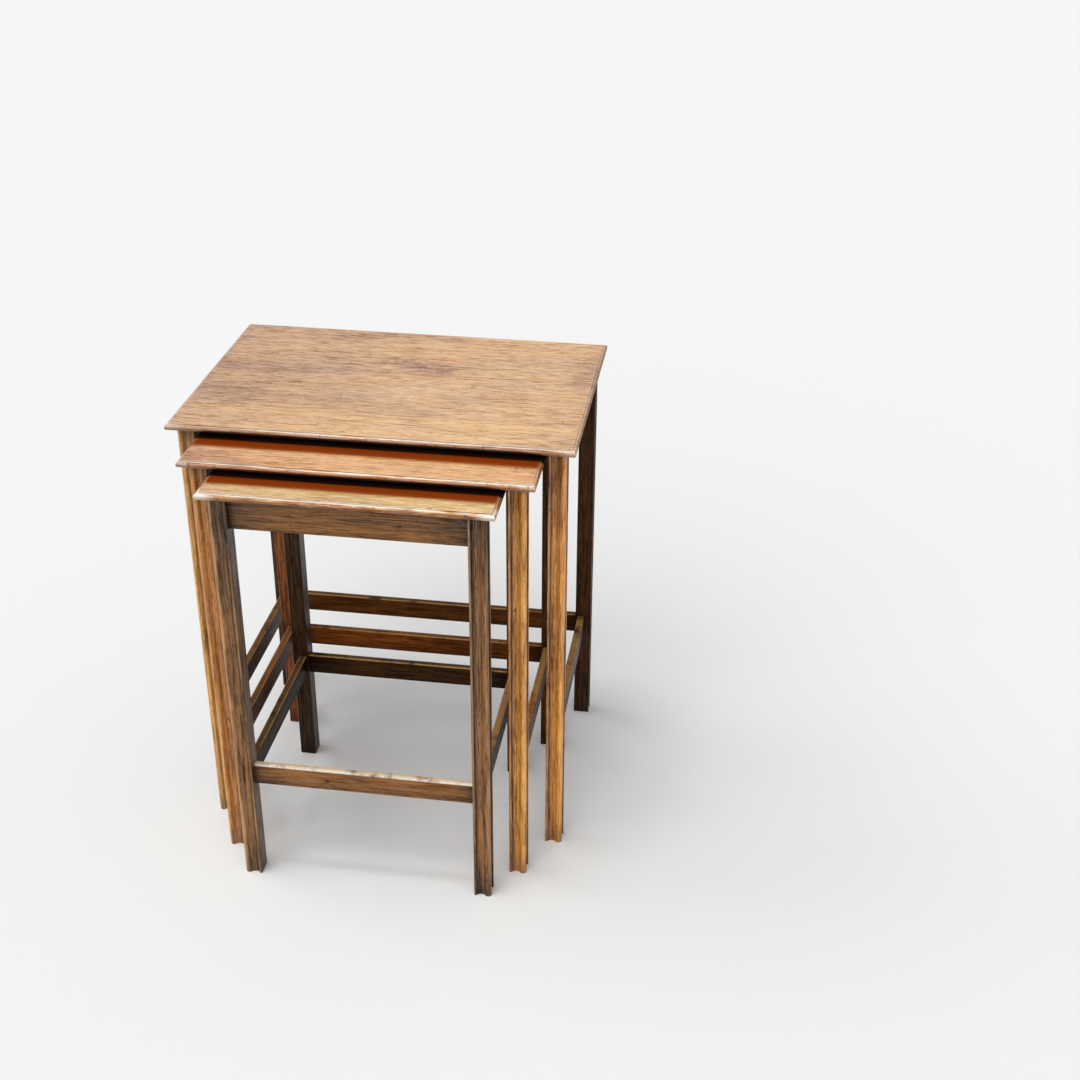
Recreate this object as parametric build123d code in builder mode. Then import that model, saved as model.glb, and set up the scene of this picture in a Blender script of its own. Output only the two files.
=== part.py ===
from build123d import *
from dataclasses import dataclass
from math import acos, asin, cos, degrees, radians
import os

# Nest of three tables, standing with the two smaller ones partly drawn out.
# Millimetres, +Z up, the front towards -Y. The origin is on the floor, under the
# middle of the nest's outline.

# Large table, over its top
large_width = 520
large_depth = 354
large_height = 612

# How far each smaller table's front edge stands ahead of the larger one's
medium_drawn = 72
small_drawn = 53

# Room a smaller table has inside the larger one
side_room = 4
top_room = 5.5
home_room = 1

# Tops: a raised field with a thumb moulding round it
top_thickness = 8.5
field_step = 0.7
field_margin = 0.4
thumb_radius = 0.47 * top_thickness
underside_radius = 0.35 * top_thickness
overhang_side = 12
overhang_front = 9
overhang_back = 1

# Legs: square stock, its two outer faces moulded with a bead, a hollow and a nose
leg_size = 23
bead_width = 0.15 * leg_size
nose_radius = 0.195 * leg_size
hollow_radius = 0.35 * leg_size
hollow_depth = 0.18 * leg_size
bead_rise = 0.9

# Rails under the tops and stretchers low on the legs. An inset is measured from the
# leg's inner face to the inner face of the rail or stretcher.
rail_height = 46
rail_thickness = 11
rail_inset = 2
stretcher_height = 30
stretcher_thickness = 10
stretcher_inset = 3
stretcher_bottom = 146
stretcher_top_radius = 2.2
lower_edge_chamfer = 0.8

# Mortise and tenon joints, mitred inside the leg where two meet
tenon_thickness = 5
tenon_room = 0.1
mitre_room = 0.3
rail_haunch = 8
tenon_shoulder = 4

# Wood screws that hold the tops down, one sunk deep into the middle of a rail from below
screw_radius = 1.75
screw_head_radius = 3.2
screw_head_height = 2.2
screw_room = 0.15
screw_seat = 14
screw_bite = 0.65 * top_thickness
screw_sink_radius = 0.34 * rail_thickness
screwed_sides = ("right", "back", "left")

# Each smaller table goes home between the legs of the larger one, under its top, until
# it meets the back rail with the front edges flush.
leg_to_top_edge = overhang_side + leg_size + side_room
back_to_rail = overhang_back + leg_size - rail_inset
medium_width = large_width - 2 * leg_to_top_edge
medium_depth = large_depth - back_to_rail - home_room
medium_height = large_height - top_thickness - top_room
small_width = medium_width - 2 * leg_to_top_edge
small_depth = medium_depth - back_to_rail - home_room
small_height = medium_height - top_thickness - top_room

overall_depth = large_depth + medium_drawn + small_drawn
small_front = -overall_depth / 2
medium_front = small_front + small_drawn
large_front = medium_front + medium_drawn

# The sides of a table in order round it, with the direction each one runs. Seen along
# that direction the inside of the table is on the left.
side_order = ("front", "right", "back", "left")
side_runs = {"front": (1, 0), "right": (0, 1), "back": (-1, 0), "left": (0, -1)}
leg_at_start = {
    "front": "front_left",
    "right": "front_right",
    "back": "back_right",
    "left": "back_left",
}


@dataclass
class Table:
    name: str
    width: float
    depth: float
    height: float
    front: float
    closed_sides: tuple

    @property
    def underside(self):
        return self.height - top_thickness

    @property
    def middle(self):
        return self.front + self.depth / 2

    @property
    def frame_width(self):
        return self.width - 2 * overhang_side

    @property
    def frame_depth(self):
        return self.depth - overhang_front - overhang_back


@dataclass
class Member:
    kind: str
    height: float
    thickness: float
    inset: float
    shoulder_above: float
    top_radius: float

    @property
    def recess(self):
        return leg_size - self.inset - self.thickness

    @property
    def tenon_face(self):
        return self.recess + (self.thickness - tenon_thickness) / 2

    @property
    def tenon_height(self):
        return self.height - self.shoulder_above - tenon_shoulder

    def bottom(self, table):
        if self.kind == "rail":
            return table.underside - self.height
        return stretcher_bottom


rail = Member("rail", rail_height, rail_thickness, rail_inset, rail_haunch, 0)
stretcher = Member("stretcher", stretcher_height, stretcher_thickness, stretcher_inset,
                   tenon_shoulder, stretcher_top_radius)

open_front = ("right", "back", "left")
large = Table("large", large_width, large_depth, large_height, large_front, open_front)
medium = Table("medium", medium_width, medium_depth, medium_height, medium_front, open_front)
small = Table("small", small_width, small_depth, small_height, small_front, side_order)


def save(part, name):
    part.label = name
    export_step(part, f"parts/{name}.step")


def side_length(table, side):
    return table.frame_width if side in ("front", "back") else table.frame_depth


def side_plane(table, side, height):
    """Level plane from the middle of a side's outer face: X along it, Y into the table."""
    run_x, run_y = side_runs[side]
    across = table.frame_depth if side in ("front", "back") else table.frame_width
    middle = table.front + overhang_front + table.frame_depth / 2
    origin = (run_y * across / 2, middle - run_x * across / 2, height)
    return Plane(origin=origin, x_dir=(run_x, run_y, 0), z_dir=(0, 0, 1))


def corner_plane(table, side, height):
    """Level plane from the outer corner of the leg where a side starts."""
    whole = side_plane(table, side, height)
    corner = whole.from_local_coords((-side_length(table, side) / 2, 0, 0))
    return Plane(origin=corner, x_dir=whole.x_dir, z_dir=(0, 0, 1))


def screw_place(table, side, height):
    """Point in the middle of a rail where a screw goes up into the top."""
    level = side_plane(table, side, height)
    return level.from_local_coords((0, rail.recess + rail.thickness / 2, 0))


def facing_down(point):
    return Plane(origin=point, x_dir=(1, 0, 0), z_dir=(0, 0, -1))


def make_top(table):
    level = Plane(origin=(0, table.middle, table.underside))
    board = top_thickness - field_step
    margin = 2 * (thumb_radius + field_margin)
    with BuildPart() as top:
        with BuildSketch(level):
            Rectangle(table.width, table.depth)
        extrude(amount=board)
        fillet(top.faces().sort_by(Axis.Z)[-1].edges(), thumb_radius)
        fillet(top.faces().sort_by(Axis.Z)[0].edges(), underside_radius)
        with BuildSketch(level.offset(board)):
            Rectangle(table.width - margin, table.depth - margin)
        extrude(amount=field_step)
        for side in screwed_sides:
            with Locations(facing_down(screw_place(table, side, table.underside))):
                Hole(screw_radius + screw_room, depth=screw_bite + screw_room)
    save(top.part, f"{table.name}_top")


def make_leg(table, side):
    # The hollow meets the nose in a smooth wave: this is the slope of the line that
    # joins the centres of the two arcs.
    slope = degrees(asin(1 - hollow_depth / (nose_radius + hollow_radius)))
    hollow_x = nose_radius + (nose_radius + hollow_radius) * cos(radians(slope))
    hollow_y = hollow_depth - hollow_radius
    bead_x = leg_size - bead_width
    bead_angle = degrees(acos((bead_x - hollow_x) / hollow_radius))
    before = side_order[side_order.index(side) - 1]
    with BuildPart() as leg:
        with BuildSketch(corner_plane(table, side, 0)):
            with BuildLine():
                CenterArc((nose_radius, nose_radius), nose_radius, 225, 135 - slope)
                hollow = CenterArc((hollow_x, hollow_y), hollow_radius,
                                   180 - slope, bead_angle - 180 + slope)
                Line(hollow @ 1, (bead_x, bead_rise))
                SagittaArc((bead_x, bead_rise), (leg_size, bead_rise), -bead_rise)
                Line((leg_size, bead_rise), (leg_size, leg_size))
                mirror(about=Plane(origin=(0, 0, 0), z_dir=(1, -1, 0)))
            make_face()
        extrude(amount=table.underside)
        for member in (rail, stretcher):
            end = member.tenon_face - tenon_room
            deep = leg_size - end
            wide = tenon_thickness + 2 * tenon_room
            level = member.bottom(table) + tenon_shoulder - tenon_room
            with BuildSketch(corner_plane(table, side, level)):
                with Locations((end, end)):
                    if side in table.closed_sides:
                        Rectangle(deep, wide, align=(Align.MIN, Align.MIN))
                    if before in table.closed_sides:
                        Rectangle(wide, deep, align=(Align.MIN, Align.MIN))
            extrude(amount=member.tenon_height + 2 * tenon_room, mode=Mode.SUBTRACT)
    save(leg.part, f"{table.name}_leg_{leg_at_start[side]}")


def tenon_outline(member, shoulder, mitred):
    """Plan of the tenon at the far end of a rail or stretcher whose shoulder is there."""
    face = member.tenon_face
    back = face + tenon_thickness
    outer = leg_size - face - tenon_room
    inner = outer
    if mitred:
        outer = leg_size - face - mitre_room
        inner = leg_size - back - mitre_room
    return [(shoulder, face), (shoulder + outer, face), (shoulder + inner, back), (shoulder, back)]


def make_member(table, side, member):
    turn = side_order.index(side)
    meets_before = side_order[turn - 1] in table.closed_sides
    meets_after = side_order[(turn + 1) % 4] in table.closed_sides
    shoulder = side_length(table, side) / 2 - leg_size
    level = side_plane(table, side, member.bottom(table))
    run = Axis(level.origin, level.x_dir)
    with BuildPart() as piece:
        with BuildSketch(level):
            with Locations((0, member.recess)):
                Rectangle(2 * shoulder, member.thickness, align=(Align.CENTER, Align.MIN))
        extrude(amount=member.height)
        chamfer(piece.edges().filter_by(run).group_by(Axis.Z)[0], lower_edge_chamfer)
        if member.top_radius > 0:
            fillet(piece.edges().filter_by(run).group_by(Axis.Z)[-1], member.top_radius)
        with BuildSketch(level.offset(tenon_shoulder)):
            Polygon(*tenon_outline(member, shoulder, meets_after), align=None)
            with BuildSketch(mode=Mode.PRIVATE) as start:
                Polygon(*tenon_outline(member, shoulder, meets_before), align=None)
            mirror(start.sketch, about=Plane.YZ)
        extrude(amount=member.tenon_height)
        if member.kind == "rail" and side in screwed_sides:
            with Locations(facing_down(screw_place(table, side, member.bottom(table)))):
                CounterBoreHole(screw_radius + screw_room, screw_sink_radius,
                                member.height - screw_seat)
    save(piece.part, f"{table.name}_{member.kind}_{side}")


def make_top_screws(table):
    length = screw_seat + screw_bite
    with BuildPart() as screws:
        for side in screwed_sides:
            seat = screw_place(table, side, table.underside - screw_seat)
            with BuildSketch(Plane(origin=seat, x_dir=(1, 0, 0), z_dir=(0, -1, 0))):
                with BuildLine():
                    Polyline(
                        (0, -screw_head_height),
                        (screw_head_radius, -screw_head_height),
                        (screw_head_radius, 0),
                        (screw_radius, 0),
                        (screw_radius, length),
                        (0, length),
                        close=True,
                    )
                make_face()
            revolve(axis=Axis(seat, (0, 0, 1)))
    save(screws.part, f"{table.name}_top_screws")


os.makedirs("parts", exist_ok=True)
for table in (large, medium, small):
    make_top(table)
    make_top_screws(table)
    for side in side_order:
        make_leg(table, side)
    for side in table.closed_sides:
        make_member(table, side, rail)
        make_member(table, side, stretcher)
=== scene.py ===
"""Looks for a nest of three tables: old polished wood, its wear and a pale studio."""
import math
from typing import NamedTuple

import bpy
from mathutils import Matrix, Vector


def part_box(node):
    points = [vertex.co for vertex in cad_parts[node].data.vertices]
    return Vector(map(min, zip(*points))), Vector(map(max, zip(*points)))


MM = 0.001

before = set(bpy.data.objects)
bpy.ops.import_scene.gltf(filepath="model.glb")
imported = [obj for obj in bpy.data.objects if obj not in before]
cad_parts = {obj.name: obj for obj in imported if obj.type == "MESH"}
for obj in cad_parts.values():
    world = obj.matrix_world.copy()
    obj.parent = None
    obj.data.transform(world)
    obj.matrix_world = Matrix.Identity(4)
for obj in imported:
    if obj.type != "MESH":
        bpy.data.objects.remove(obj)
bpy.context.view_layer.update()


# Camera, set to the photograph's viewing angle

CAMERA_PLACE = (0.4633, -1.8405, 1.4495)
CAMERA_TURN = math.radians(8.133)
CAMERA_DOWN = math.radians(28.896)
CAMERA_ROLL = math.radians(0.345)
CAMERA_LENS = 53.02
CAMERA_SENSOR = 36


def make_camera():
    data = bpy.data.cameras.new("camera")
    data.lens = CAMERA_LENS
    data.sensor_width = CAMERA_SENSOR
    camera = bpy.data.objects.new("camera", data)
    bpy.context.scene.collection.objects.link(camera)
    turn = Matrix.Rotation(CAMERA_TURN, 4, "Z")
    tilt = Matrix.Rotation(math.pi / 2 - CAMERA_DOWN, 4, "X")
    roll = Matrix.Rotation(CAMERA_ROLL, 4, "Z")
    camera.matrix_world = Matrix.Translation(CAMERA_PLACE) @ turn @ tilt @ roll
    bpy.context.scene.camera = camera


# Shader nodes

# Where a Mix node set to colours has its share, its two colours and its result
MIX_INPUTS = (0, 6, 7)
MIX_RESULT = 2


class Graph:
    """Short ways to add nodes to a tree and join them."""

    def __init__(self, tree):
        self.tree = tree

    def link(self, source, target):
        self.tree.links.new(source, target)

    def add(self, kind, **inputs):
        node = self.tree.nodes.new(kind)
        for name, value in inputs.items():
            self.feed(node.inputs[name], value)
        return node

    def feed(self, socket, value):
        if isinstance(value, bpy.types.NodeSocket):
            self.link(value, socket)
        else:
            socket.default_value = value

    def math(self, operation, *values):
        node = self.tree.nodes.new("ShaderNodeMath")
        node.operation = operation
        for socket, value in zip(node.inputs, values):
            self.feed(socket, value)
        return node.outputs[0]

    def fold(self, operation, values):
        total = values[0]
        for value in values[1:]:
            total = self.math(operation, total, value)
        return total

    def times(self, *values):
        return self.fold("MULTIPLY", values)

    def plus(self, *values):
        return self.fold("ADD", values)

    def minus(self, *values):
        return self.fold("SUBTRACT", values)

    def most(self, *values):
        return self.fold("MAXIMUM", values)

    def least(self, *values):
        return self.fold("MINIMUM", values)

    def off(self, value, middle):
        """Distance of a value from a middle, on either side."""
        return self.math("ABSOLUTE", self.minus(value, middle))

    def inside(self, value, low, high):
        """Distance of a value from the nearer of two ends."""
        return self.minus((high - low) / 2, self.off(value, (low + high) / 2))

    def vector(self, operation, a, b):
        node = self.tree.nodes.new("ShaderNodeVectorMath")
        node.operation = operation
        self.feed(node.inputs[0], a)
        self.feed(node.inputs[1], b)
        return node.outputs[0]

    def axes(self, place):
        node = self.add("ShaderNodeSeparateXYZ", Vector=place)
        return [node.outputs[i] for i in range(3)]

    def fade(self, value, start, end):
        """0 at start, 1 at end, smooth between."""
        limits = {"From Min": start, "From Max": end}
        node = self.add("ShaderNodeMapRange", Value=value, **limits)
        node.interpolation_type = "SMOOTHSTEP"
        return node.outputs[0]

    def mix(self, share, a, b):
        node = self.tree.nodes.new("ShaderNodeMix")
        node.data_type = "RGBA"
        for index, value in zip(MIX_INPUTS, (share, a, b)):
            if isinstance(value, tuple) and len(value) == 3:
                value = (*value, 1)
            self.feed(node.inputs[index], value)
        return node.outputs[MIX_RESULT]

    def noise(self, place, per_metre, detail=3.0, roughness=0.55, output="Fac"):
        """Noise with about so many lumps in a metre along each axis."""
        scaled = self.vector("MULTIPLY", place, per_metre)
        node = self.add("ShaderNodeTexNoise", Vector=scaled, Scale=1.0,
                        Detail=detail, Roughness=roughness)
        return node.outputs[output]


def new_material(name):
    """A material, the graph of its nodes and its shader."""
    material = bpy.data.materials.new(name)
    material.use_nodes = True
    shader = material.node_tree.nodes["Principled BSDF"]
    return material, Graph(material.node_tree), shader


# Floor, world and lamps. A row of soft lamps hangs over the nest, more of it to the left,
# with a broad window in front and a smaller one at the left. A share is the part of the
# floor's full brightness that a lamp gives; the world's light and all shares make about 1.

FLOOR_COLOUR = (0.91, 0.91, 0.90)
FLOOR_ROUGHNESS = 0.9
FLOOR_GLOSS = 0.1
FLOOR_RADIUS = 25
FLOOR_SIDES = 96
WORLD_SEEN = (0.95, 0.95, 0.935)
WORLD_LIGHT = 0.395
WORLD_TINT = (0.97, 0.99, 1.0)
ROW_LEANS = (-13, -5, 3)
ROW_FORWARD = 5
ROW_SHARE = 0.06
ROW_ANGLE = 9
LEFT_FROM = Vector((-1.0, 0.1, 0.8))
LEFT_SHARE = 0.125
LEFT_ANGLE = 40
FRONT_FROM = Vector((-0.35, -1.0, 0.75))
FRONT_SHARE = 0.32
FRONT_ANGLE = 70


def make_floor():
    bpy.ops.mesh.primitive_circle_add(vertices=FLOOR_SIDES, radius=FLOOR_RADIUS,
                                      fill_type="NGON")
    floor = bpy.context.object
    floor.name = "floor"
    material, _, shader = new_material("floor")
    shader.inputs["Base Color"].default_value = (*FLOOR_COLOUR, 1)
    shader.inputs["Roughness"].default_value = FLOOR_ROUGHNESS
    shader.inputs["Specular IOR Level"].default_value = FLOOR_GLOSS
    floor.data.materials.append(material)


def make_world():
    """A soft dome of light, which camera and reflections see as a plain pale background."""
    world = bpy.data.worlds.new("world")
    world.use_nodes = True
    bpy.context.scene.world = world
    graph = Graph(world.node_tree)
    world.node_tree.nodes.clear()
    path = graph.add("ShaderNodeLightPath")
    seen = graph.most(path.outputs["Is Camera Ray"], path.outputs["Is Glossy Ray"],
                      path.outputs["Is Transmission Ray"])
    light = graph.add("ShaderNodeBackground", Color=(*WORLD_TINT, 1), Strength=WORLD_LIGHT)
    shown = graph.add("ShaderNodeBackground", Color=(*WORLD_SEEN, 1), Strength=1)
    mixed = graph.add("ShaderNodeMixShader")
    graph.link(seen, mixed.inputs[0])
    graph.link(light.outputs[0], mixed.inputs[1])
    graph.link(shown.outputs[0], mixed.inputs[2])
    output = graph.add("ShaderNodeOutputWorld")
    graph.link(mixed.outputs[0], output.inputs["Surface"])


def make_sun(name, direction, share, angle):
    """A lamp that lights the floor to the given share of its full brightness."""
    data = bpy.data.lights.new(name, "SUN")
    data.energy = math.pi * share / direction.z
    data.angle = math.radians(angle)
    lamp = bpy.data.objects.new(name, data)
    lamp.rotation_euler = direction.to_track_quat("Z", "Y").to_euler()
    bpy.context.scene.collection.objects.link(lamp)


def make_lamps():
    forward = -math.tan(math.radians(ROW_FORWARD))
    for index, lean in enumerate(ROW_LEANS):
        direction = Vector((math.tan(math.radians(lean)), forward, 1)).normalized()
        make_sun(f"row_{index}", direction, ROW_SHARE, ROW_ANGLE)
    make_sun("left", LEFT_FROM.normalized(), LEFT_SHARE, LEFT_ANGLE)
    make_sun("front", FRONT_FROM.normalized(), FRONT_SHARE, FRONT_ANGLE)


# Wood tones, linear colours

class Tone(NamedTuple):
    light: tuple
    middle: tuple
    dark: tuple
    deep: tuple


TAN = Tone((0.94, 0.468, 0.085), (0.78, 0.348, 0.062),
           (0.34, 0.118, 0.022), (0.05, 0.014, 0.004))
RUSSET = Tone((0.97, 0.440, 0.050), (0.88, 0.350, 0.036),
              (0.38, 0.112, 0.009), (0.06, 0.014, 0.002))
GOLDEN = Tone((0.96, 0.580, 0.095), (0.82, 0.415, 0.066),
              (0.39, 0.122, 0.014), (0.07, 0.016, 0.002))
HONEY = Tone((1.00, 0.460, 0.056), (0.87, 0.328, 0.032),
             (0.28, 0.080, 0.009), (0.04, 0.011, 0.002))
AMBER = Tone((0.74, 0.285, 0.034), (0.52, 0.180, 0.018),
             (0.18, 0.048, 0.005), (0.04, 0.011, 0.002))
OCHRE = Tone((0.74, 0.370, 0.066), (0.55, 0.245, 0.038),
             (0.21, 0.072, 0.010), (0.04, 0.012, 0.003))
UMBER = Tone((0.43, 0.178, 0.030), (0.116, 0.048, 0.010),
             (0.018, 0.008, 0.003), (0.005, 0.003, 0.001))
DRIFT = Tone((0.40, 0.160, 0.028), (0.180, 0.070, 0.012),
             (0.032, 0.014, 0.003), (0.005, 0.003, 0.001))
WALNUT = Tone((0.35, 0.128, 0.016), (0.140, 0.051, 0.007),
              (0.024, 0.011, 0.003), (0.006, 0.003, 0.001))
BRONZE = Tone((0.34, 0.120, 0.013), (0.170, 0.060, 0.007),
              (0.045, 0.016, 0.002), (0.008, 0.003, 0.001))
CIGAR = Tone((0.15, 0.048, 0.005), (0.085, 0.026, 0.003),
             (0.034, 0.011, 0.002), (0.010, 0.004, 0.001))
COFFEE = Tone((0.085, 0.032, 0.004), (0.046, 0.017, 0.002),
              (0.020, 0.008, 0.001), (0.008, 0.003, 0.001))
CHESTNUT = Tone((0.30, 0.080, 0.007), (0.16, 0.042, 0.004),
                (0.060, 0.015, 0.002), (0.016, 0.005, 0.001))
MAHOGANY = Tone((0.48, 0.135, 0.018), (0.34, 0.094, 0.011),
                (0.15, 0.038, 0.005), (0.03, 0.008, 0.002))
EBONY = Tone((0.050, 0.020, 0.003), (0.025, 0.010, 0.002),
             (0.011, 0.005, 0.001), (0.005, 0.002, 0.001))

TOP_TONES = {"large": TAN, "medium": RUSSET, "small": GOLDEN}
FRONT_LEG_TONES = {"large": HONEY, "medium": HONEY, "small": UMBER}
BACK_LEG_TONES = {"large": CIGAR, "medium": CIGAR, "small": COFFEE}
RAIL_TONES = {"large": CHESTNUT, "medium": CHESTNUT, "small": WALNUT}
STRETCHER_TONES = {"large": CIGAR, "medium": CHESTNUT, "small": EBONY}
OWN_TONES = {
    "large_leg_front_left": OCHRE,
    "medium_leg_front_left": AMBER,
    "medium_leg_back_left": MAHOGANY,
    "small_leg_front_right": DRIFT,
    "small_stretcher_front": BRONZE,
}

# Rubbed wood and painted highlights, dirt and painted black shade, and painted dark red shade
# Rubbed wood; the pale one is also painted highlights on edges, the gold and tan on legs' noses
PALE_BARE_AND_HIGHLIGHT = (0.97, 0.88, 0.74)
BARE_CREAM = (0.88, 0.60, 0.33)
GOLD_BARE_AND_HIGHLIGHT = (0.76, 0.40, 0.14)
TAN_BARE_AND_HIGHLIGHT = (0.50, 0.27, 0.12)
# Dirt, and the painted black of shade in closed corners and under an upper top
GRIME_AND_SHADOW = (0.006, 0.004, 0.003)
# Painted shade: the dark red of a top in the shade of the one above
SHADE_RED = (0.225, 0.027, 0.001)


# Finishes

class Finish(NamedTuple):
    """How a kind of piece is polished, figured and darkened in its corners.

    coated pieces have a clear coat; sheen is the gloss of the wood itself. streak, fleck and
    pore are the strengths of the dark figure, specks the flecks in a metre along and across
    the grain, and bend is how far the grain waves, in metres. shade is how far corners are
    darkened with painted shade, within that reach and felt by that many rays. dim and black are
    the shares of open air at which the painted shade and the painted black start and are full.
    The bare colour is that of rubbed wood, also used for painted highlights.
    """
    coated: bool
    sheen: float
    streak: float
    specks: tuple
    fleck: float
    pore: float
    bend: float
    shade: float
    reach: float
    rays: int
    dim: tuple
    black: tuple
    bare: tuple


TOP_FINISH = Finish(
    coated=True, sheen=0.2, streak=0.34, specks=(38, 430), fleck=0.44, pore=0.5, bend=0.010,
    shade=0.97, reach=0.06, rays=128, dim=(0.965, 0.940), black=(0.74, 0.62), bare=PALE_BARE_AND_HIGHLIGHT)
LARGE_TOP_FINISH = TOP_FINISH._replace(rays=16)
LEG_FINISH = Finish(
    coated=False, sheen=1.0, streak=0.75, specks=(24, 380), fleck=0.50, pore=0.6, bend=0.010,
    shade=0.5, reach=0.04, rays=8, dim=(0.97, 0.72), black=(0.50, 0.12), bare=TAN_BARE_AND_HIGHLIGHT)
SMALL_LEG_FINISH = LEG_FINISH._replace(sheen=0.7)
BACK_LEG_FINISH = LEG_FINISH._replace(sheen=0.3)
BAR_FINISH = Finish(
    coated=False, sheen=0.10, streak=0.55, specks=(24, 380), fleck=0.60, pore=0.5, bend=0.012,
    shade=0.6, reach=0.04, rays=8, dim=(0.97, 0.72), black=(0.50, 0.12), bare=GOLD_BARE_AND_HIGHLIGHT)
FRONT_BAR_FINISH = BAR_FINISH._replace(sheen=0.6, streak=0.40, fleck=0.40)

WOOD_IOR = 1.5
COAT_IOR = 3.05
COAT_ROUGHNESS = 0.05

# How much of the gloss each mark takes away, and how much roughness each adds
FLECK_LOSS = 0.54
STREAK_LOSS = 0.33
AGE_AND_SHADE_LOSS = 0.16
CLOUD_LOSS = 0.08
MOST_LOSS = 0.95
SHADE_LOSS = 0.9
ROUGHNESS = 0.34
STREAK_ROUGHNESS = 0.12
WORN_AND_HIGHLIGHT_ROUGHNESS = 0.12
DIRT_AND_SHADE_ROUGHNESS = 0.25

# How strongly the gleam between flecks and the knots show, and the relief of the grain
GLEAM = 0.4
KNOT = 0.8
STREAK_RELIEF = 0.35
BUMP_STRENGTH = 0.25
BUMP_HEIGHT = 0.2 * MM

# Which axes lie along and across the grain, and how far the figure moves from seed to seed
GRAIN_ORDER = {"X": (0, 1, 2), "Y": (1, 2, 0), "Z": (2, 0, 1)}
SEED_STEP = (0.731, 0.417, 0.293)


class Figure(NamedTuple):
    """Patterns of the wood: streaks and blotch as plain noise, the rest as marks from 0 to 1."""
    streaks: object
    blotch: object
    band: object
    streak: object
    fleck: object
    gleam: object
    pore: object
    knot: object
    cloud: object


class Wear(NamedTuple):
    """How far a piece is worn bare, with painted highlights, dirty, with painted black shade,
    and aged, with painted shade on noses, undersides and bar ends and under a top.

    The red shade mask is where its painted shadow turns dark red and loses its gloss, dull where
    the gloss is rubbed off, and the bare colour that of the worn wood and painted highlights if
    it isn't the finish's.
    """
    worn_and_highlit: object
    dirt_and_shade: object
    aged_and_shaded: object
    red_shade: object = None
    dull: object = None
    bare: object = None


def along_grain(graph, place, grain, seed):
    """The place with its first axis along the grain, moved to a spot of the seed's own."""
    axes = graph.axes(place)
    turned = graph.add("ShaderNodeCombineXYZ")
    for index, axis in enumerate(GRAIN_ORDER[grain]):
        graph.link(axes[axis], turned.inputs[index])
    return graph.vector("ADD", turned.outputs[0], tuple(seed * step for step in SEED_STEP))


def draw_figure(graph, along, finish):
    """Slow waves bend the grain; bands, streaks, flecks and pores lie along it."""
    wave = graph.noise(along, (2.5, 7, 7), detail=2, output="Color")
    wave = graph.vector("SUBTRACT", wave, (0.5, 0.5, 0.5))
    bend = graph.vector("MULTIPLY", wave, (0, finish.bend, finish.bend))
    fibre = graph.vector("ADD", along, bend)
    specks_along, specks_across = finish.specks
    bands = graph.noise(fibre, (1.6, 48, 48), detail=4, roughness=0.6)
    streaks = graph.noise(fibre, (8, 360, 360), detail=4, roughness=0.7)
    flecks = graph.noise(fibre, (specks_along, specks_across, specks_across),
                         detail=4, roughness=0.85)
    pores = graph.noise(fibre, (90, 1500, 1500), detail=2, roughness=0.5)
    knots = graph.noise(along, (60, 110, 110), detail=1)
    clouds = graph.noise(along, (4, 10, 10), detail=2)
    return Figure(
        streaks=streaks,
        blotch=graph.noise(along, (5, 13, 13), detail=3, roughness=0.6),
        band=graph.fade(bands, 0.32, 0.64),
        streak=graph.fade(streaks, 0.49, 0.62),
        fleck=graph.fade(flecks, 0.49, 0.585),
        gleam=graph.fade(flecks, 0.47, 0.40),
        pore=graph.fade(pores, 0.58, 0.70),
        knot=graph.fade(knots, 0.74, 0.80),
        cloud=graph.fade(clouds, 0.40, 0.62),
    )


def figured_colour(graph, tone, finish, figure, aged_and_shaded):
    colour = graph.mix(figure.band, tone.middle, tone.light)
    colour = graph.mix(aged_and_shaded, colour, tone.dark)
    colour = graph.mix(graph.times(figure.streak, finish.streak), colour, tone.dark)
    colour = graph.mix(graph.times(figure.fleck, finish.fleck), colour, tone.deep)
    colour = graph.mix(graph.times(figure.gleam, GLEAM), colour, tone.light)
    colour = graph.mix(graph.times(figure.pore, finish.pore), colour, tone.deep)
    return graph.mix(graph.times(figure.knot, KNOT), colour, tone.deep)


def remaining_gloss(graph, figure, wear, shaded):
    lost = graph.plus(graph.times(figure.fleck, FLECK_LOSS),
                      graph.times(figure.streak, STREAK_LOSS),
                      graph.times(wear.aged_and_shaded, AGE_AND_SHADE_LOSS),
                      graph.times(figure.cloud, CLOUD_LOSS))
    gloss = graph.minus(1.0, graph.least(lost, MOST_LOSS))
    if wear.dull:
        gloss = graph.times(gloss, graph.minus(1.0, wear.dull))
    # Painted shade: under an upper top the gloss is taken away too, so no reflection shows there
    if wear.red_shade:
        lost = graph.times(shaded, wear.red_shade, SHADE_LOSS)
        gloss = graph.times(gloss, graph.minus(1.0, lost))
    return gloss


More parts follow.
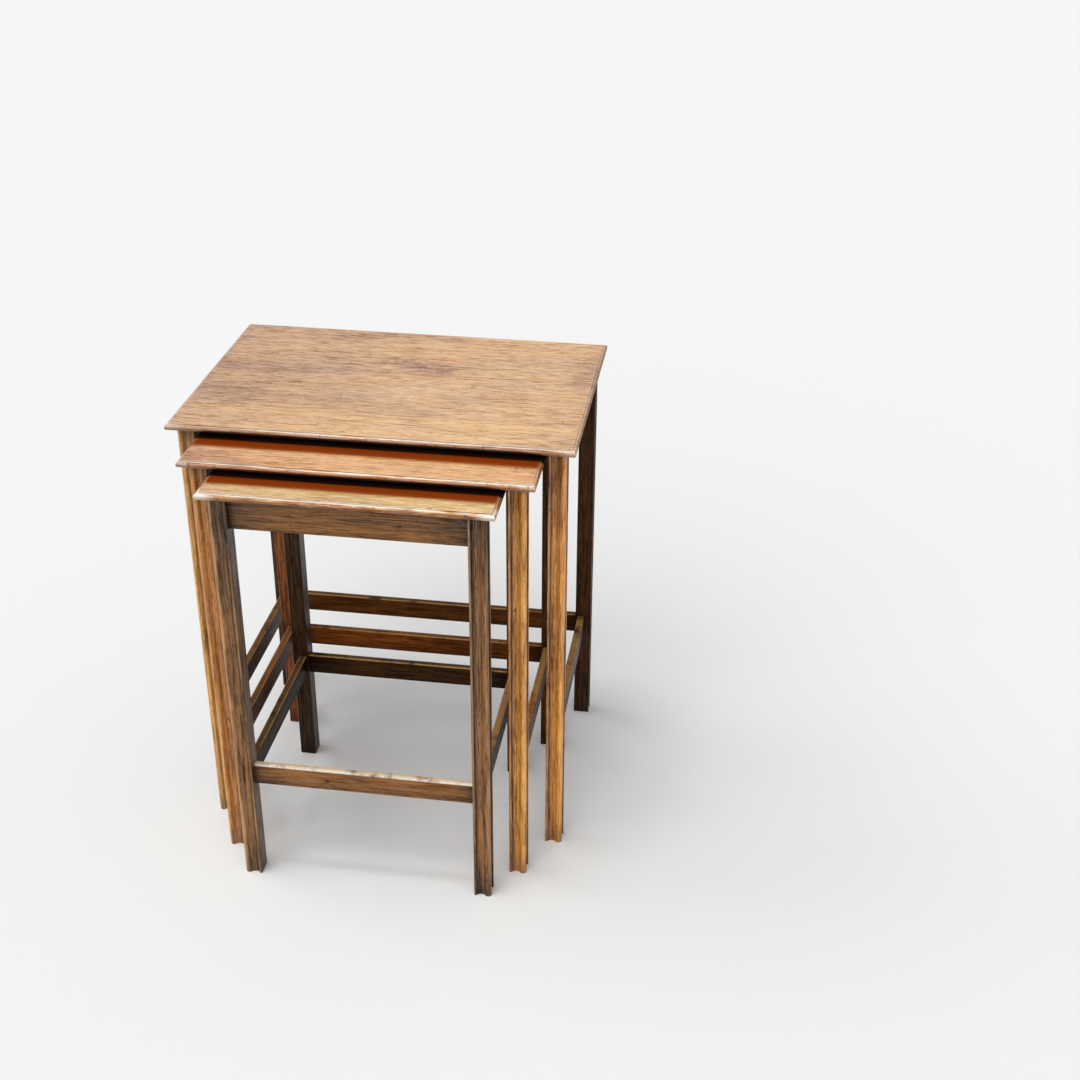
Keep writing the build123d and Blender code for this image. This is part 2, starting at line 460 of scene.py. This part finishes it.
def wood(name, grain, tone, seed, finish, masks):
    """Polished wood with its grain along one axis, with wear, painted highlights and painted
    shade as masks(graph, place, blotch) says.
    """
    material, graph, shader = new_material(name)
    place = graph.add("ShaderNodeTexCoord").outputs["Object"]
    figure = draw_figure(graph, along_grain(graph, place, grain, seed), finish)
    wear = masks(graph, place, figure.blotch)
    colour = figured_colour(graph, tone, finish, figure, wear.aged_and_shaded)

    # Painted shade: corners that light hardly reaches are darkened, and black where most closed
    # in
    corner = graph.add("ShaderNodeAmbientOcclusion", Distance=finish.reach)
    corner.samples = finish.rays
    open_air = corner.outputs["AO"]
    shaded = graph.fade(open_air, *finish.dim)
    painted_black = graph.times(graph.fade(open_air, *finish.black), finish.shade)
    # Dirt marks and the painted black shade together
    dirt_and_shade = graph.most(painted_black, wear.dirt_and_shade)
    # Painted shade colour: dark red on a top's field, the dark tone on its nose, else the
    # deepest tone
    shadow = graph.mix(wear.red_shade, tone.dark, SHADE_RED) if wear.red_shade else tone.deep
    colour = graph.mix(graph.times(shaded, finish.shade), colour, shadow)
    colour = graph.mix(wear.worn_and_highlit, colour, wear.bare or finish.bare)
    colour = graph.mix(dirt_and_shade, colour, GRIME_AND_SHADOW)
    graph.link(colour, shader.inputs["Base Color"])

    rough = graph.plus(ROUGHNESS,
                       graph.times(graph.fade(figure.streaks, 0.35, 0.75), STREAK_ROUGHNESS),
                       graph.times(wear.worn_and_highlit, WORN_AND_HIGHLIGHT_ROUGHNESS),
                       graph.times(dirt_and_shade, DIRT_AND_SHADE_ROUGHNESS))
    graph.link(rough, shader.inputs["Roughness"])
    shader.inputs["IOR"].default_value = WOOD_IOR
    gloss = remaining_gloss(graph, figure, wear, shaded)
    graph.link(graph.times(gloss, finish.sheen), shader.inputs["Specular IOR Level"])
    if finish.coated:
        graph.link(gloss, shader.inputs["Coat Weight"])
        shader.inputs["Coat Roughness"].default_value = COAT_ROUGHNESS
        shader.inputs["Coat IOR"].default_value = COAT_IOR
    height = graph.minus(graph.times(figure.streaks, STREAK_RELIEF), figure.pore)
    bump = graph.add("ShaderNodeBump", Strength=BUMP_STRENGTH, Distance=BUMP_HEIGHT,
                     Height=height)
    graph.link(bump.outputs[0], shader.inputs["Normal"])
    return material


# Wear, painted highlights and painted shade. top_masks, leg_masks and bar_masks draw them on
# one piece, from the piece's CAD box.
# A plain number in a product is the strength of that mark.

CORNER_RUB = {"large": 0.25, "medium": 0.3, "small": 0.8}
# How strongly a top's edge is rubbed and painted with a highlight, at the front and all round
FRONT_RUB_AND_HIGHLIGHT = {"large": 0.6, "medium": 0.8, "small": 0.85}
EDGE_RUB_AND_HIGHLIGHT = 0.2

# Dark smudges on the large top: the middle of each, and its reach along X and Y
SMUDGES = (((0.0, 0.131), (0.075, 0.026)), ((0.045, 0.112), (0.085, 0.036)))

# How far the upper face of a rail or stretcher is rubbed, by its side of the table
RUBBING = {"left": 0.12, "right": 0.5, "back": 0.1}
FRONT_RUBBING = {"rail": 0.0, "stretcher": 0.9}


def spot(graph, x, y, centre, reach):
    """1 at a point of the plan, fading to 0 at a distance given along X and along Y."""
    away_x = graph.math("DIVIDE", graph.minus(x, centre[0]), reach[0])
    away_y = graph.math("DIVIDE", graph.minus(y, centre[1]), reach[1])
    away = graph.plus(graph.times(away_x, away_x), graph.times(away_y, away_y))
    return graph.fade(graph.math("SQRT", away), 1.0, 0.0)


def top_masks(node):
    """A pale rubbed edge round a top that is also a painted highlight, nicks in it, age in from
    the left and the back, and painted shade on the nose, the underside and under the top above.
    """
    low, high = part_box(node)
    table = node.split("_")[0]

    def masks(graph, place, blotch):
        x, y, z = graph.axes(place)
        from_side = graph.inside(x, low.x, high.x)
        from_end = graph.inside(y, low.y, high.y)
        from_front = graph.minus(y, low.y)
        rim = graph.least(from_side, from_end)
        rubbed = graph.noise(place, (45, 45, 45), detail=4, roughness=0.7)
        rub_breaks = graph.noise(place, (14, 14, 14), detail=2)
        nicks = graph.noise(place, (160, 160, 60), detail=2, roughness=0.6)
        # Painted shade on the lower part of the nose and on the underside
        under = graph.fade(z, low.z + 6.5 * MM, low.z + 3.5 * MM)

        # Rubbed along the edge of the field and at the front corners; the field's edge, most at
        # the front, is also a painted highlight
        ridge = graph.times(graph.fade(rim, 5.2 * MM, 4.7 * MM),
                            graph.fade(rim, 2.0 * MM, 3.0 * MM))
        at_front = graph.fade(from_front, 9 * MM, 5 * MM)
        rub_and_highlight = graph.plus(EDGE_RUB_AND_HIGHLIGHT, graph.times(at_front, FRONT_RUB_AND_HIGHLIGHT[table]))
        edge = graph.times(ridge, graph.fade(rub_breaks, 0.34, 0.56), rub_and_highlight)
        nose = graph.fade(rim, 6 * MM, 4 * MM)
        at_corner = graph.fade(graph.plus(from_side, from_front), 30 * MM, 6 * MM)
        corner = graph.times(at_corner, nose, graph.fade(rubbed, 0.36, 0.50), CORNER_RUB[table])
        worn_and_highlit = graph.most(edge, corner)

        nicked = graph.times(graph.fade(rim, 5.5 * MM, 1.0 * MM),
                             graph.fade(nicks, 0.62, 0.72), 0.8)
        # Nicks hold dirt; the lower nose and underside are painted dark as shade
        dirt_and_shade = graph.most(nicked, graph.times(under, 0.45))

        to_back = graph.math("DIVIDE", from_front, high.y - low.y)
        at_left = graph.times(graph.fade(x, 0.4 * high.x, low.x), 0.32)
        behind = graph.times(graph.fade(to_back, 0.08, 0.55), 0.26)
        at_side = graph.times(graph.fade(from_side, 40 * MM, 0.0), 0.20)
        # Painted shade: the nose of the top is darker
        nose_shade = graph.times(graph.fade(rim, 3.0 * MM, 1.0 * MM), 0.6)
        stained = graph.times(graph.fade(blotch, 0.46, 0.68), 0.45)
        aged_and_shaded = graph.plus(at_left, behind, at_side, nose_shade, stained)
        if table == "large":
            for centre, reach in SMUDGES:
                smudge = spot(graph, x, y, centre, reach)
                aged_and_shaded = graph.plus(aged_and_shaded, graph.times(smudge, graph.fade(rubbed, 0.25, 0.65)))
        # The lower nose and underside are darker still: painted shade
        aged_and_shaded = graph.least(graph.plus(aged_and_shaded, under), 1.0)

        # Painted shade: on the field, the shade under an upper top is painted dark red
        red_shade = graph.fade(rim, 3.5 * MM, 5.0 * MM)
        dull = graph.times(graph.fade(rim, 2.6 * MM, 1.0 * MM), 0.6)
        return Wear(worn_and_highlit, dirt_and_shade, aged_and_shaded, red_shade, dull)
    return masks


def leg_masks(node):
    """Wear and painted highlights on a leg's nose and beads, dirt beside the beads, painted
    shadow under the top and darker towards the bottom, from its outer corner.
    """
    low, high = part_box(node)
    corner_x = low.x if node.endswith("left") else high.x
    corner_y = low.y if "front" in node else high.y

    def masks(graph, place, blotch):
        x, y, z = graph.axes(place)
        from_x = graph.off(x, corner_x)
        from_y = graph.off(y, corner_y)
        near = graph.least(from_x, from_y)
        far = graph.most(from_x, from_y)
        rubbed = graph.noise(place, (60, 60, 9), detail=4, roughness=0.7)
        # Rubbed wood on the nose and beads, also a painted highlight
        nose = graph.times(graph.fade(far, 6 * MM, 3 * MM), graph.fade(rubbed, 0.40, 0.62))
        bead = graph.times(graph.fade(near, 0.7 * MM, 0.1 * MM),
                           graph.fade(far, 19 * MM, 20 * MM),
                           graph.fade(rubbed, 0.35, 0.65))
        worn_and_highlit = graph.times(graph.most(nose, bead), 0.55)
        quirk = graph.times(graph.fade(far, 17.2 * MM, 19 * MM),
                            graph.fade(near, 0.8 * MM, 1.5 * MM))
        dirt_and_shade = graph.times(quirk, graph.fade(near, 3.4 * MM, 2.6 * MM), 0.65)
        edge = graph.times(graph.fade(far, 13 * MM, 20 * MM), 0.6)
        # Painted shadow of the table top on the upper part of the leg
        top_shadow = graph.times(graph.fade(z, high.z - 110 * MM, high.z), 0.45)
        # Darker towards the bottom
        below = graph.times(graph.fade(z, 120 * MM, 0.0), 0.25)
        stained = graph.times(graph.fade(blotch, 0.50, 0.70), 0.6)
        aged_and_shaded = graph.plus(edge, top_shadow, below, stained)
        return Wear(worn_and_highlit, dirt_and_shade, graph.least(aged_and_shaded, 1.0))
    return masks


def bar_masks(node, runs, rubbing):
    """Wear on the upper arrises and face of a rail or stretcher, age, painted shade at its ends,
    darker towards its bottom, and a painted highlight on the small front stretcher's front
    arris.
    """
    low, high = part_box(node)

    def masks(graph, place, blotch):
        x, y, z = graph.axes(place)
        from_x = graph.inside(x, low.x, high.x)
        from_y = graph.inside(y, low.y, high.y)
        edge, end = (from_y, from_x) if runs == "X" else (from_x, from_y)
        down = graph.minus(high.z, z)
        rubbed = graph.noise(place, (25, 25, 60), detail=4, roughness=0.7)
        arris = graph.times(graph.fade(graph.plus(edge, down), 2.2 * MM, 1.2 * MM), 0.6)
        face = graph.times(graph.fade(down, 2.0 * MM, 0.4 * MM), rubbing)
        worn_and_highlit = graph.times(graph.most(arris, face), graph.fade(rubbed, 0.30, 0.54))
        # Painted shade at the ends, where the bar meets the legs
        end_shade = graph.times(graph.fade(end, 90 * MM, 15 * MM), 0.45)
        # Darker towards the bottom
        below = graph.times(graph.fade(z, low.z + 14 * MM, low.z), 0.3)
        stained = graph.times(graph.fade(blotch, 0.43, 0.64), 0.7)
        aged_and_shaded = graph.least(graph.plus(end_shade, below, stained), 1.0)
        bare = None
        if node == "small_stretcher_front":
            # A painted highlight along the front arris; the rest of the face is rubbed cream
            front_highlight = graph.fade(y, low.y + 6 * MM, low.y + 4 * MM)
            bare = graph.mix(front_highlight, BARE_CREAM, PALE_BARE_AND_HIGHLIGHT)
        return Wear(worn_and_highlit, 0.0, aged_and_shaded, bare=bare)
    return masks


# Every piece gets a material of its own, but the screws share theirs

SCREW_STEEL = (0.42, 0.40, 0.37)
SCREW_STAIN = (0.20, 0.15, 0.11)
SCREW_ROUGHNESS = 0.3
STAIN_ROUGHNESS = 0.3


def screw_metal():
    material, graph, shader = new_material("screw_metal")
    place = graph.add("ShaderNodeTexCoord").outputs["Object"]
    stain = graph.noise(place, (400, 400, 400))
    colour = graph.mix(graph.fade(stain, 0.4, 0.7), SCREW_STEEL, SCREW_STAIN)
    graph.link(colour, shader.inputs["Base Color"])
    rough = graph.plus(SCREW_ROUGHNESS, graph.times(stain, STAIN_ROUGHNESS))
    graph.link(rough, shader.inputs["Roughness"])
    shader.inputs["Metallic"].default_value = 1.0
    return material


def tone_of(node):
    table, kind = node.split("_")[:2]
    if node in OWN_TONES:
        return OWN_TONES[node]
    if kind == "top":
        return TOP_TONES[table]
    if kind == "leg":
        return FRONT_LEG_TONES[table] if "front" in node else BACK_LEG_TONES[table]
    return RAIL_TONES[table] if kind == "rail" else STRETCHER_TONES[table]


def leg_finish(node, tone):
    if "back" in node:
        return BACK_LEG_FINISH
    if node.startswith("small"):
        return SMALL_LEG_FINISH
    return LEG_FINISH._replace(bare=GOLD_BARE_AND_HIGHLIGHT) if tone is HONEY else LEG_FINISH


def wood_for(node, seed):
    kind = node.split("_")[1]
    side = node.split("_")[-1]
    tone = tone_of(node)
    if kind == "top":
        finish = LARGE_TOP_FINISH if node == "large_top" else TOP_FINISH
        return wood(node, "X", tone, seed, finish, top_masks(node))
    if kind == "leg":
        return wood(node, "Z", tone, seed, leg_finish(node, tone), leg_masks(node))
    runs = "X" if side in ("front", "back") else "Y"
    finish = FRONT_BAR_FINISH if side == "front" else BAR_FINISH
    rubbing = FRONT_RUBBING[kind] if side == "front" else RUBBING[side]
    return wood(node, runs, tone, seed, finish, bar_masks(node, runs, rubbing))


def dress_all():
    metal = screw_metal()
    for seed, node in enumerate(sorted(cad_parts), start=1):
        material = metal if node.endswith("screws") else wood_for(node, seed)
        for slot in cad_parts[node].material_slots:
            slot.material = material


make_camera()
make_floor()
make_world()
make_lamps()
dress_all()
bpy.context.scene.view_settings.view_transform = "Standard"
